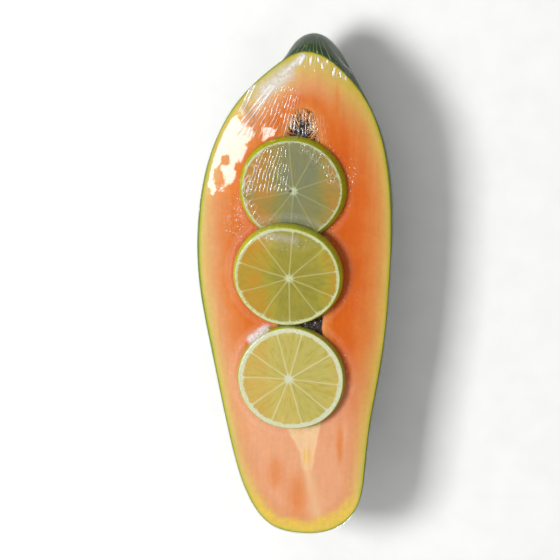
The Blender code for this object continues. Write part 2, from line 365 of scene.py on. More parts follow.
def insideOf(curve, points):
    # Even-odd crossings of a closed curve, for every point at once.
    x, y = points[:, 0][:, None], points[:, 1][:, None]
    x0, y0 = curve[:, 0][None], curve[:, 1][None]
    x1, y1 = np.roll(curve, -1, 0)[:, 0][None], np.roll(curve, -1, 0)[:, 1][None]
    straddles = (y0 > y) != (y1 > y)
    reach = x0 + (y - y0) * (x1 - x0) / np.where(y1 == y0, 1e-9, y1 - y0)
    return (straddles & (x < reach)).sum(1) % 2 == 1


# ---- papaya flesh and rind

papaya = {
    "cavityRings": 16,
    "faceRings": 62,
    "shoulderRings": 9,
    "rindRings": 34,
    "edgeRound": 0.3,  # mm, the knife leaves the skin's edge slightly dulled
    "faceWave": 0.10,  # mm, unevenness that the knife leaves
    "cavityRagged": 1.1,  # mm, unevenness of the cavity's torn edge
    "lobes": 0.55,  # mm, the five soft lengthwise ribs
    "scar": (4.5, -127.0, 7.0),  # middle of the stem scar: plan, and mm below the cut
    "fromSkin": (  # the flesh from the skin inwards: share of the colour's reach, colour
        (0.0, "#57701c"), (0.011, "#97a22a"), (0.024, "#bdb840"), (0.045, "#d4c163"), (0.08, "#ddbf74"),
        (0.13, "#e1b470"), (0.2, "#e2a56c"), (0.3, "#e1975f"), (0.42, "#e08847"), (0.56, "#de7a2f"),
        (0.75, "#da6e18"),
    ),
    "colourReach": 30.0,  # mm
    "blushes": (  # deeper orange stains: centre, half sizes, strength
        ((3.0, -107.5), (8.5, 14.0), 0.6),
        ((-9.0, -96.0), (6.0, 10.0), 0.55),
        ((24.0, -79.0), (2.2, 13.0), 0.75),
        ((21.5, 92.0), (1.6, 13.0), 0.55),
        ((8.0, 93.0), (5.5, 5.0), 0.35),
    ),
    "wedge": (  # the placenta's two edges, both drawn in to the stripe: x at the cavity's end and further on
        (-70.0, -79.0, -84.2, -93.7),
        (-3.2, 1.8, 4.4, 6.4),
        (13.6, 11.5, 10.4, 9.0),
    ),
    "strokes": (((6.0, -87.2), (0.7, 6.2)), ((8.2, -86.0), (0.75, 5.8))),  # yellow bundles inside the wedge
}


def papayaFlesh():
    # Ripe papaya flesh, knife-cut: soft wet tissue that scatters light, yellow under the skin and orange inside.
    material, tree, value = newMaterial(
        "papayaFleshCut", "rimDistance", "rimStretch", "cavityDistance", "paleness", "rightDeepAndShaded", "gold", "placenta",
        "stroke", "blush", "inCavity",
    )
    place = value["place"]
    cloud = noise(tree, place, 75.0, 3.0, 0.55)
    lengthwise = addNode(tree, "Mapping", {"Vector": place, "Scale": (1.0, 0.1, 1.0)})
    streak = noise(tree, lengthwise, 190.0, 2.0, 0.5)
    # The distance from the skin, shortened towards both ends, wandering more the further in it lies.
    grown = calc(tree, "MULTIPLY", value["rimDistance"], value["rimStretch"])
    both = calc(tree, "ADD", cloud, streak)
    sway = calc(tree, "MULTIPLY_ADD", both, 0.75, -0.75)
    swayed = calc(tree, "MULTIPLY_ADD", grown, sway, grown)
    zone = calc(tree, "DIVIDE", swayed, papaya["colourReach"], use_clamp=True)
    colour = ramp(tree, zone, *papaya["fromSkin"])
    # The right side is deeper in colour and also darkened by painted shade, as if the light falls off away from the
    # left; the lower third is paler and pinker.
    fromSkin = spread(tree, grown, 3.0, 12.0)
    tint = blend(tree, fromSkin, "#f3e7c4", "#f8d8a4")
    colour = blend(tree, value["rightDeepAndShaded"], colour, tint, "MULTIPLY")
    pale = calc(tree, "MULTIPLY", value["paleness"], fromSkin)
    colour = blend(tree, pale, colour, "#ebac82")
    blushing = calc(tree, "MULTIPLY", value["blush"], streak)
    blushing = calc(tree, "MULTIPLY", blushing, 1.8, use_clamp=True)
    colour = blend(tree, blushing, colour, "#e17f30")
    # Round the cavity the flesh is deepest, with a paler torn band at the very edge.
    near = spread(tree, value["cavityDistance"], 13.0, 1.0)
    notPale = calc(tree, "SUBTRACT", 1.0, value["paleness"], use_clamp=True)
    deep = calc(tree, "MULTIPLY", near, notPale)
    colour = blend(tree, deep, colour, "#db6c0e")
    veins = ramp(tree, streak, (0.54, 0.0), (0.62, 0.5), (0.7, 0.0))
    veins = calc(tree, "MULTIPLY", veins, deep)
    colour = blend(tree, veins, colour, "#cc5420")
    speck = noise(tree, place, 420.0, 3.0, 0.6)
    fromEdge = calc(tree, "DIVIDE", value["cavityDistance"], 6.0)
    tornBand = ramp(tree, fromEdge, (0.0, 0.25), (0.1, 0.9), (0.4, 0.55), (1.0, 0.0))
    torn = calc(tree, "MULTIPLY", tornBand, speck)
    torn = calc(tree, "MULTIPLY", torn, 1.25, use_clamp=True)
    colour = blend(tree, torn, colour, "#e2a055")
    mottled = ramp(tree, speck, (0.35, 0.55), (0.6, 0.9))
    gilt = calc(tree, "MULTIPLY", value["gold"], mottled)
    colour = blend(tree, gilt, colour, "#ebca50")
    # Fine fibres and mottling.
    fibre = noise(tree, lengthwise, 520.0, 4.0, 0.6)
    tone = ramp(tree, fibre, (0.3, 0.93), (0.7, 1.0))
    colour = blend(tree, 1.0, colour, tone, "MULTIPLY")
    tone = ramp(tree, speck, (0.3, 0.94), (0.65, 1.0))
    colour = blend(tree, 1.0, colour, tone, "MULTIPLY")
    # The placenta that closes the cavity at the stem end: cream, with yellow bundles and a faint stripe to the stem.
    cream = ramp(tree, streak, (0.3, "#e8c092"), (0.6, "#f2d9aa"))
    colour = blend(tree, value["placenta"], colour, cream)
    colour = blend(tree, value["stroke"], colour, "#e8b836")
    colour = blend(tree, value["inCavity"], colour, "#a8561c")
    wet = noise(tree, place, 900.0, 2.0)
    bump = addNode(tree, "Bump", {"Height": wet, "Strength": 0.25, "Distance": 0.15 * mm})
    shader = addNode(
        tree,
        "BsdfPrincipled",
        {
            "Base Color": colour,
            "Roughness": 0.45,
            "IOR": 1.38,
            "Specular IOR Level": 0.15,
            "Subsurface Weight": 0.25,
            "Subsurface Radius": (1.0, 0.35, 0.12),
            "Subsurface Scale": 1.6 * mm,
            "Normal": bump,
        },
    )
    addNode(tree, "OutputMaterial", {"Surface": shader})
    return material


def papayaRind():
    # Green papaya rind: thin waxy skin, satin, with lengthwise streaks, yellow flecks and a corky stem scar.
    material, tree, value = newMaterial("papayaRindWaxy", "scarReach", "skinEdge")
    place = value["place"]
    lengthwise = addNode(tree, "Mapping", {"Vector": place, "Scale": (1.0, 0.1, 1.0)})
    streak = noise(tree, lengthwise, 130.0, 3.0, 0.6)
    colour = ramp(tree, streak, (0.25, "#14240b"), (0.5, "#213810"), (0.78, "#304a18"))
    patch = noise(tree, place, 26.0, 3.0)
    share = ramp(tree, patch, (0.42, 0.0), (0.75, 0.5))
    colour = blend(tree, share, colour, "#3f5d20")
    fleck = addNode(tree, "TexVoronoi", {"Vector": place, "Scale": 190.0}, out="Distance")
    share = ramp(tree, fleck, (0.05, 0.55), (0.16, 0.0))
    colour = blend(tree, share, colour, "#93a13f")
    corky = noise(tree, place, 450.0, 4.0, 0.7)
    scarPlace = calc(tree, "MULTIPLY_ADD", corky, 4.0, value["scarReach"])
    outFromScar = calc(tree, "DIVIDE", scarPlace, 12.0)
    scarTone = ramp(tree, outFromScar, (0.2, "#5d4c38"), (0.4, "#8f7f66"), (0.75, "#9c8d72"), (0.95, "#4f4a2e"))
    scar = spread(tree, scarPlace, 11.6, 10.8)
    colour = blend(tree, scar, colour, scarTone)
    colour = blend(tree, value["skinEdge"], colour, "#76902a")
    grain = noise(tree, place, 150.0, 2.0)
    bump = addNode(tree, "Bump", {"Height": grain, "Strength": 0.3, "Distance": 0.3 * mm})
    shader = addNode(
        tree,
        "BsdfPrincipled",
        {"Base Color": colour, "Roughness": 0.38, "IOR": 1.45, "Specular IOR Level": 0.25, "Normal": bump},
    )
    addNode(tree, "OutputMaterial", {"Surface": shader})
    return material


def stain(plan, centre, half):
    # A soft oval spot, 1 in the middle.
    reach = np.linalg.norm((plan - np.array(centre)) / np.array(half), axis=1)
    return smoothStep(1.3, 0.2, reach)


def placentaMask(plan):
    # A cream wedge with brighter edges, narrowing from the cavity's stem end, then a stripe to a pale spot.
    x, y = plan[:, 0], plan[:, 1]
    levels, lefts, rights = (np.array(part)[::-1] for part in papaya["wedge"])
    sway = 0.5 * valueNoise(plan, 5.0, 13)
    left = np.interp(y, levels, lefts) + sway
    right = np.interp(y, levels, rights) + sway
    inWedge = smoothStep(levels[0] - 2.5, levels[0] + 1.0, y) * smoothStep(levels[-1] + 6, levels[-1] + 2, y)
    fill = smoothStep(-1.2, 1.0, np.minimum(x - left, right - x)) * 0.62
    lineLeft = np.exp(-(((x - left) / 1.0) ** 2)) * 0.72
    lineRight = np.exp(-(((x - right) / 0.75) ** 2)) * 0.85
    wedge = np.maximum(fill, np.maximum(lineLeft, lineRight)) * inWedge
    t = np.clip((levels[0] - y) / 23.0, 0, 1)
    stripe = np.exp(-(((x - 7.7 - 4.3 * t + sway) / (2.0 + 1.6 * t)) ** 2)) * 0.5
    stripe *= smoothStep(-121, -116, y) * smoothStep(levels[0] + 6, levels[0] - 1, y)
    return np.maximum(np.maximum(wedge, stripe), 0.6 * stain(plan, (12.2, -115.6), (3.4, 4.2)))


def makePapaya():
    # Rings from the cavity floor up to its edge, across the cut face, over the skin's edge and down the rind.
    rings, heights, zones = [], [], []
    inner = cavityEdge(outlines)
    ragged = outward(inner) * (papaya["cavityRagged"] * valueNoise(inner, 3.2, 17))[:, None]
    for share in np.sin(np.linspace(0, math.pi / 2, papaya["cavityRings"] + 1)):
        plan, height = cavityBowl(inner, share)
        rings.append(plan + ragged * share**4), heights.append(height), zones.append(0)
    inner = rings[-1]
    edge = papaya["edgeRound"]
    face = outlines["cut"] - outward(outlines["cut"]) * edge
    for share in 1 - (1 - np.linspace(0, 1, papaya["faceRings"] + 1)[1:]) ** 1.25:
        rings.append(inner + (face - inner) * share), heights.append(np.zeros(around)), zones.append(0)
    rings.append(outlines["cut"] - outward(outlines["cut"]) * edge * 0.3)
    heights.append(np.full(around, -edge * 0.28)), zones.append(0)
    firstRind = len(rings)
    for share in np.linspace(1, 0, papaya["shoulderRings"] + 1):
        plan, height = shoulderRing(outlines, share)
        rings.append(plan), heights.append(height - edge * share), zones.append(1)
    for degrees in np.linspace(0, 90, papaya["rindRings"] + 1)[1:]:
        plan, height = rindRing(outlines, degrees)
        ribs = np.cos(5 * np.linspace(0, math.pi, around)) * math.sin(math.radians(2 * min(degrees, 45)))
        plan = plan + outward(outlines["belly"]) * (ribs * papaya["lobes"] * math.cos(math.radians(degrees)))[:, None]
        rings.append(plan), heights.append(height), zones.append(1)
    plan = np.vstack(rings)
    height = np.concatenate(heights)
    zone = np.repeat(zones, around)
    rim = distanceTo(outlines["cut"], plan)
    cavity = distanceTo(inner, plan)
    hollow = (zone == 0) & (height < -0.5)
    flat = (zone == 0) & (height > -0.01)
    wave = valueNoise(plan, 9.0, 3) * smoothStep(0.5, 4.0, rim)
    tornEdge = -0.5 * smoothStep(1.6, 0.0, cavity) + 0.2 * valueNoise(plan, 1.6, 19) * smoothStep(4.0, 0.5, cavity)
    height = height + np.where(flat, wave * papaya["faceWave"] + tornEdge, 0)
    y = plan[:, 1]
    tip, stem = smoothStep(60, 117, y), smoothStep(-104, -127, y)
    scarX, scarY, scarDrop = papaya["scar"]
    scarReach = np.hypot(np.linalg.norm(plan - np.array([scarX, scarY]), axis=1), height + scarDrop)
    scarReach = scarReach + 1.5 * valueNoise(np.column_stack([plan, height]), 4.0, 11)
    ragged = valueNoise(plan, 7.0, 23)
    values = {
        "rimDistance": rim,
        "cavityDistance": cavity,
        "rimStretch": 1 - (0.7 * tip + 0.25 * stem) * smoothStep(0.3, 4.0, rim),
        "paleness": 0.95 * smoothStep(-16, -78, y + 9 * ragged + 0.25 * plan[:, 0]) + 0.4 * smoothStep(90, 106, y),
        # The right side's mask: partly deeper flesh colour, partly painted shade.
        "rightDeepAndShaded": smoothStep(-12, 34, plan[:, 0]) * smoothStep(-130, -40, y),
        "gold": smoothStep(-98, -116, y + 3 * ragged) * smoothStep(9.5, 4, rim + 4 * ragged)
        * smoothStep(0.5, 2.2, rim),
        "placenta": placentaMask(plan) * flat,
        "stroke": sum(0.75 * stain(plan, centre, half) for centre, half in papaya["strokes"]) * flat,
        "blush": sum(strength * stain(plan, centre, half) for centre, half, strength in papaya["blushes"]),
        "inCavity": smoothStep(-0.5, -2.5, height) * hollow * 0.85,
        "scarReach": np.where(zone == 1, scarReach, 30.0),
        "skinEdge": smoothStep(4.0, 0.0, -height) * smoothStep(104, 92, y) * 0.75 * (zone == 1),
    }
    faceRing = np.repeat(np.arange(len(rings) - 1), around)
    piece = makePiece(
        "papaya_body",
        toRow(plan, height),
        ringFaces(len(rings), around),
        [papayaFlesh(), papayaRind()],
        values,
        (faceRing >= firstRind).astype(int),
    )
    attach(piece, "root")
    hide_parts("papaya_half")
    return piece


makePapaya()
print("papaya body made")


# ---- seeds and the fibres that hold them

seeds = {
    "length": 6.0,  # mm, with the gel skin on
    "width": 4.5,
    "pitch": 4.5,
    "jitter": 0.9,
    "layers": (-2.6, -5.8),  # mm below the cut face
    "last": (9.5, 83.5),  # no grain lies further right at the tip, nor further up it
    "facets": (14, 9),
    "coreTop": -5.6,
    "coreShare": 0.985,  # how far the core fills the bowl sideways, then downwards
    "coreDepth": 0.97,
}

fibres = {
    "count": 260,
    "length": (2.5, 8.0),
    "thick": (0.13, 0.3),
    "steps": 8,
    "sides": 5,
}


def seedGel():
    # Papaya seed in its gel skin: near-black wrinkled grain under a clear wet coat.
    material, tree, value = newMaterial("papayaSeedGel")
    spots = noise(tree, value["place"], 900.0, 3.0)
    colour = ramp(tree, spots, (0.3, "#1a1413"), (0.55, "#332826"), (0.75, "#5c4d49"))
    bump = addNode(tree, "Bump", {"Height": spots, "Strength": 0.7, "Distance": 0.35 * mm})
    shader = addNode(
        tree,
        "BsdfPrincipled",
        {"Base Color": colour, "Roughness": 0.35, "Coat Weight": 0.7, "Coat Roughness": 0.12, "Normal": bump},
    )
    addNode(tree, "OutputMaterial", {"Surface": shader})
    return material


def makeSeeds():
    # Grains on a jittered lattice in two layers inside the cavity, each an egg turned its own way.
    rng = np.random.default_rng(7)
    edge = cavityEdge(outlines)
    centres = []
    for depth in seeds["layers"]:
        xs = np.arange(-24, 30, seeds["pitch"])
        ys = np.arange(-72, 96, seeds["pitch"] * 0.87)
        gridX, gridY = np.meshgrid(xs, ys)
        gridX = gridX + (np.arange(len(ys)) % 2)[:, None] * seeds["pitch"] / 2
        points = np.column_stack([gridX.ravel(), gridY.ravel()])
        points = points + rng.uniform(-seeds["jitter"], seeds["jitter"], points.shape)
        room = insideOf(edge, points) & (distanceTo(edge, points) > 2.2 - 0.3 * depth)
        room &= (points[:, 1] < seeds["last"][1]) & ((points[:, 0] < seeds["last"][0]) | (points[:, 1] < 68))
        points = points[room]
        level = depth + rng.uniform(-seeds["jitter"], seeds["jitter"], len(points))
        centres.append(np.column_stack([points, level]))
    centres = np.vstack(centres)
    count = len(centres)
    columns, rows = seeds["facets"]
    turn = np.linspace(0, 2 * math.pi, columns, endpoint=False)
    rise = np.linspace(-math.pi / 2, math.pi / 2, rows)
    girth = np.cos(rise) * (1 - 0.16 * np.sin(rise)) * seeds["width"] / 2
    length = np.outer(np.sin(rise), np.ones(columns)) * seeds["length"] / 2
    egg = np.stack([length, np.outer(girth, np.cos(turn)), np.outer(girth, np.sin(turn))], -1).reshape(-1, 3)
    quaternions = rng.normal(size=(count, 4))
    quaternions[:, 1:3] *= 0.55
    quaternions /= np.linalg.norm(quaternions, axis=1)[:, None]
    w, x, y, z = quaternions.T
    turns = np.stack(
        [
            np.stack([1 - 2 * (y * y + z * z), 2 * (x * y - z * w), 2 * (x * z + y * w)], -1),
            np.stack([2 * (x * y + z * w), 1 - 2 * (x * x + z * z), 2 * (y * z - x * w)], -1),
            np.stack([2 * (x * z - y * w), 2 * (y * z + x * w), 1 - 2 * (x * x + y * y)], -1),
        ],
        1,
    )
    sizes = rng.uniform(0.84, 1.1, count)
    points = np.einsum("nij,kj->nki", turns, egg) * sizes[:, None, None] + centres[:, None, :]
    flat = points.reshape(-1, 3)
    allFaces = (ringFaces(rows, columns)[None] + np.arange(count)[:, None, None] * len(egg)).reshape(-1, 4)
    piece = makePiece("papaya_seeds", toRow(flat[:, :2], flat[:, 2]), allFaces, [seedGel()])
    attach(piece, "root")
    print("seeds made:", count)


def wetFibre():
    # Torn strands of placenta, wet and half clear, from orange to cream.
    material, tree, value = newMaterial("papayaFibreWet", "strandTone")
    colour = ramp(tree, value["strandTone"], (0.0, "#a8571a"), (0.5, "#d98c3c"), (1.0, "#ecc891"))
    shader = addNode(tree, "BsdfPrincipled", {"Base Color": colour, "Roughness": 0.35, "Specular IOR Level": 0.35})
    addNode(tree, "OutputMaterial", {"Surface": shader})
    return material


def makeFibres():
    # Bent tubes from the cavity's edge in over the seeds, more of them towards the two ends.
    rng = np.random.default_rng(21)
    edge = cavityEdge(outlines)
    count, steps, sides = fibres["count"], fibres["steps"], fibres["sides"]
    wanted = 0.35 + smoothStep(60, 84, edge[:, 1]) * (3.0 + 3.0 * (edge[:, 0] > cavityMiddle(edge[:, 1])))
    index = rng.choice(len(edge), count, p=wanted / wanted.sum())
    inward = -outward(edge)[index]
    length = rng.uniform(*fibres["length"], count)
    start = edge[index] - inward * 0.9
    lengthwise = rng.normal(-0.9, 0.5, count) * np.where(edge[index, 1] > 0, 1, -1)
    heading = inward * rng.uniform(0.25, 0.8, count)[:, None]
    heading = heading + np.column_stack([0.25 * rng.normal(size=count), lengthwise])
    heading /= np.linalg.norm(heading, axis=1)[:, None]
    bend = np.column_stack([-heading[:, 1], heading[:, 0]]) * rng.normal(0, 0.18, count)[:, None]
    t = np.linspace(0, 1, steps)
    reach = t[None, :, None] * length[:, None, None]
    plan = start[:, None] + heading[:, None] * reach + bend[:, None] * reach * t[None, :, None] * 2
    drop = rng.uniform(0.3, 1.8, count)
    height = 0.12 - drop[:, None] * t[None] ** 0.8
    swell = np.clip(np.sin(math.pi * (0.12 + 0.8 * t)), 0, 1)[None] ** 0.5
    radius = rng.uniform(*fibres["thick"], count)[:, None] * swell
    turn = np.linspace(0, 2 * math.pi, sides, endpoint=False)
    over = np.column_stack([-heading[:, 1], heading[:, 0]])
    ringPlan = plan[:, :, None] + over[:, None, None] * (radius[:, :, None] * np.cos(turn))[..., None]
    ringHeight = height[:, :, None] + radius[:, :, None] * np.sin(turn)
    # Both ends are closed by a ring drawn in to a point.
    ringPlan = np.concatenate([plan[:, :1, None].repeat(sides, 2), ringPlan, plan[:, -1:, None].repeat(sides, 2)], 1)
    capHeight = np.broadcast_to(height[:, [0, -1], None], (count, 2, sides))
    ringHeight = np.concatenate([capHeight[:, :1], ringHeight, capHeight[:, 1:]], 1)
    rows = steps + 2
    allFaces = (ringFaces(rows, sides)[None] + np.arange(count)[:, None, None] * rows * sides).reshape(-1, 4)
    tone = np.repeat(np.clip(rng.normal(0.55, 0.3, count), 0, 1), rows * sides)
    points = toRow(ringPlan.reshape(-1, 2), ringHeight.ravel())
    piece = makePiece("papaya_fibres", points, allFaces, [wetFibre()], {"strandTone": tone})
    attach(piece, "root")


def packedSeeds():
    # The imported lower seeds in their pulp: dark, wet and lumpy.
    material, tree, value = newMaterial("papayaSeedPulp", "bare")
    lump = addNode(tree, "TexVoronoi", {"Vector": value["place"], "Scale": 200.0}, out="Distance")
    colour = ramp(tree, lump, (0.1, "#1c1511"), (0.5, "#34251a"), (0.9, "#6b4420"))
    colour = blend(tree, value["bare"], colour, "#b0642a")
    bump = addNode(tree, "Bump", {"Height": lump, "Strength": 0.8, "Distance": 1.2 * mm})
    shader = addNode(tree, "BsdfPrincipled", {"Base Color": colour, "Roughness": 0.3, "Normal": bump})
    addNode(tree, "OutputMaterial", {"Surface": shader})
    return material


def makeSeedCore():
    # The lower seeds as one lumpy body: the cavity's bowl, filled to a little under the loose seeds.
    edge = cavityEdge(outlines)
    rings = []
    for share in np.linspace(0, 1, 14):
        plan, bowl = cavityBowl(edge, share * seeds["coreShare"])
        lumpy = seeds["coreTop"] + 1.1 * valueNoise(plan, 3.2, 5)
        rings.append((plan, np.maximum(lumpy, bowl * seeds["coreDepth"])))
    for share in np.linspace(1, 0, 10)[1:]:
        plan, bowl = cavityBowl(edge, share * seeds["coreShare"])
        rings.append((plan, bowl * seeds["coreDepth"]))
    plan = np.vstack([ring[0] for ring in rings])
    height = np.concatenate([ring[1] for ring in rings])
    x, y = plan.T
    bare = np.maximum(smoothStep(83, 87, y), smoothStep(9, 12, x) * smoothStep(64, 70, y)) * 0.9
    faces = ringFaces(len(rings), around)
    piece = makePiece("seed_core", toRow(plan, height), faces, [packedSeeds()], {"bare": bare})
    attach(piece, "root")
    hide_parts("seed_cluster")


makeSeedCore()
makeSeeds()
makeFibres()
print("fibres made")


# ---- lime slices

limes = {
    "around": 360,
    "topRings": 84,
    "sideRings": 10,
    "bottomRings": 16,
    "thickness": 4.6,
    "gap": 0.3,
    "sacs": (11.0, 0.16),  # juice sacs: how many to a radian, and how many to a mm from the hub
    # Each slice: "bare" is how many mm of the pulp over the cavity's edge get the painted see-through orange and not
    # the painted see-through dark.
    "slices": (
        {
            "node": "lime_slice_1", "centre": (-0.3, 51.4), "radius": 26.9, "flare": 2.0, "oval": 0.98,
            "hub": (1.1, -0.6), "hubSize": 1.9, "peel": 0.1, "pith": 1.1, "membrane": 0.12, "pit": 1.0,
            "seedsSeen": 1.0, "bare": 3.0,
            "walls": (96, 63, 21, -25, -62, -95, -127, -166, 172, 133),
            "tint": {
                "pulp": "#918d53", "dark": "#8d894f", "light": "#98945b", "seeds": "#7d8060", "warm": "#ba8230",
                "pith": "#bdc8a4", "membrane": "#a09e66", "peel": "#a9ab16", "peelDark": "#8d9218",
            },
        },
        {
            "node": "lime_slice_2", "centre": (-2.1, 8.9), "radius": 27.6, "flare": 1.2, "oval": 0.96,
            "hub": (1.1, -0.8), "hubSize": 2.0, "peel": 0.3, "pith": 1.5, "membrane": 0.2, "pit": 0.0,
            "seedsSeen": 0.4, "bare": 0.0,
            "walls": (85, 44, 10, -23, -54, -90, -124, -161, 163, 126),
            "tint": {
                "pulp": "#a9a03e", "dark": "#a3993a", "light": "#b2a94e", "seeds": "#74743a", "warm": "#c28a2c",
                "pith": "#c8cfa8", "membrane": "#b9b170", "peel": "#b0b322", "peelDark": "#8f971c",
            },
        },
        {
            "node": "lime_slice_3", "centre": (-0.6, -44.8), "radius": 27.3, "flare": 0.5, "oval": 0.98,
            "hub": (-0.7, 0.0), "hubSize": 2.3, "peel": 0.25, "pith": 2.4, "membrane": 0.27, "pit": 0.0,
            "seedsSeen": 0.25, "bare": 0.0,
            "walls": (104, 74, 33, -4, -40, -75, -112, -143, 180, 145),
            "tint": {
                "pulp": "#c7b866", "dark": "#bfaf5e", "light": "#d1c47c", "seeds": "#a8a154", "warm": "#c9a550",
                "pith": "#d0d5b8", "membrane": "#cfc690", "peel": "#acb02a", "peelDark": "#8f9420",
            },
        },
    ),
}


def limeTilts():
    # The middle slice leans on the one towards the blossom end, as in the construction.
    upper, leaning = limes["slices"][0], limes["slices"][1]
    propY = upper["centre"][1] - (upper["radius"] - upper["flare"]) * upper["oval"]
    footY = leaning["centre"][1] - leaning["radius"] * leaning["oval"]
    return (0.0, math.asin((limes["thickness"] + limes["gap"]) / (propY - footY)), 0.0)


def limeCut(name, spec):
    # A cut lime: juice sacs that run in to the hub between thin membranes, white pith and waxy peel with oil glands.
    material, tree, value = newMaterial(
        name, "wallGap", "rimGap", "hubGap", "peelGap", "pitGap", "sacX", "sacY", "sacReach", "overSeeds", "fleshSeenThrough",
        "segment",
    )
    place, tint = value["place"], spec["tint"]
    grain = noise(tree, place, 800.0, 2.0)
    uneven = calc(tree, "MULTIPLY_ADD", grain, 2.4, -1.2)
    sacPlace = addNode(tree, "CombineXYZ", {"X": value["sacX"], "Y": value["sacY"], "Z": value["sacReach"]})
    sacs = noise(tree, sacPlace, 1.0, 2.5, 0.6)
    colour = ramp(tree, sacs, (0.32, tint["dark"]), (0.5, tint["pulp"]), (0.7, tint["light"]))
    tone = ramp(tree, value["segment"], (0.0, "#edf1dc"), (1.0, "#fff6e2"))
    colour = blend(tree, 1.0, colour, tone, "MULTIPLY")
    soft = noise(tree, place, 140.0, 3.0)
    patchy = ramp(tree, soft, (0.36, 0.5), (0.6, 1.0))
    # Painted see-through: the seeds under the slice darken the pulp's colour and the shaded flesh under it tints it
    # orange, painted in place of light passing through the slice.
    seedShare = calc(tree, "MULTIPLY", value["overSeeds"], patchy)
    colour = blend(tree, seedShare, colour, tint["seeds"])
    fleshThroughShare = calc(tree, "MULTIPLY", value["fleshSeenThrough"], patchy)
    colour = blend(tree, fleshThroughShare, colour, tint["warm"])
    sacWall = ramp(tree, sacs, (0.44, 0.0), (0.5, 0.2), (0.56, 0.0))
    colour = blend(tree, sacWall, colour, tint["light"])
    # Distances in mm to the nearest membrane, the pith and the hub, joined with rounded corners.
    half = calc(tree, "MULTIPLY", soft, spec["membrane"] * 2)
    wallSize = calc(tree, "ABSOLUTE", value["wallGap"])
    wall = calc(tree, "SUBTRACT", wallSize, half)
    rim = calc(tree, "ADD", value["rimGap"], uneven)
    hub = calc(tree, "ADD", value["hubGap"], uneven)
    white = calc(tree, "SMOOTH_MIN", rim, hub, 0.5)
    inside = calc(tree, "SMOOTH_MIN", wall, white, 1.6)
    pulp = spread(tree, inside, -0.25, 0.4, interpolation_type="SMOOTHSTEP")
    inner = spread(tree, white, 0.0, 2.2, interpolation_type="SMOOTHSTEP")
    pithTone = ramp(tree, grain, (0.3, tint["membrane"]), (0.5, tint["pith"]))
    wallTone = blend(tree, inner, pithTone, tint["membrane"])
    colour = blend(tree, pulp, wallTone, colour)
    pit = spread(tree, value["pitGap"], 0.2, -0.3)
    colour = blend(tree, pit, colour, "#5b3b22")
    peelEdge = calc(tree, "MULTIPLY_ADD", uneven, 0.5, value["peelGap"])
    zest = spread(tree, peelEdge, -0.6, 0.15)
    colour = blend(tree, zest, colour, "#b4bd50")
    gland = addNode(tree, "TexVoronoi", {"Vector": place, "Scale": 700.0}, out="Distance")
    peelTone = ramp(tree, gland, (0.05, tint["peelDark"]), (0.5, tint["peel"]))
    peel = spread(tree, peelEdge, -0.1, 0.3)
    colour = blend(tree, peel, colour, peelTone)
    height = calc(tree, "MULTIPLY_ADD", sacs, pulp, gland)
    bump = addNode(tree, "Bump", {"Height": height, "Strength": 0.3, "Distance": 0.15 * mm})
    shader = addNode(
        tree,
        "BsdfPrincipled",
        {
            "Base Color": colour,
            "Roughness": 0.35,
            "IOR": 1.36,
            "Specular IOR Level": 0.25,
            "Subsurface Weight": 0.25,
            "Subsurface Radius": (0.9, 0.9, 0.35),
            "Subsurface Scale": 1.0 * mm,
            "Normal": bump,
        },
    )
    addNode(tree, "OutputMaterial", {"Surface": shader})
    return material


def signedWall(angle, reach, walls):
    # Distance in mm to the nearest membrane, with a sign that changes at each: a sine that is 0 on every one of them.
    marks = np.radians(np.sort(np.array(walls, float)))
    marks = np.append(marks, marks[0] + 2 * math.pi)
    turned = (angle - marks[0]) % (2 * math.pi) + marks[0]
    count = np.interp(turned, marks, np.arange(len(marks)))
    width = np.diff(marks)[np.minimum(count.astype(int), len(walls) - 1)]
    return np.sin(math.pi * count) / math.pi * width * reach, count.astype(int)


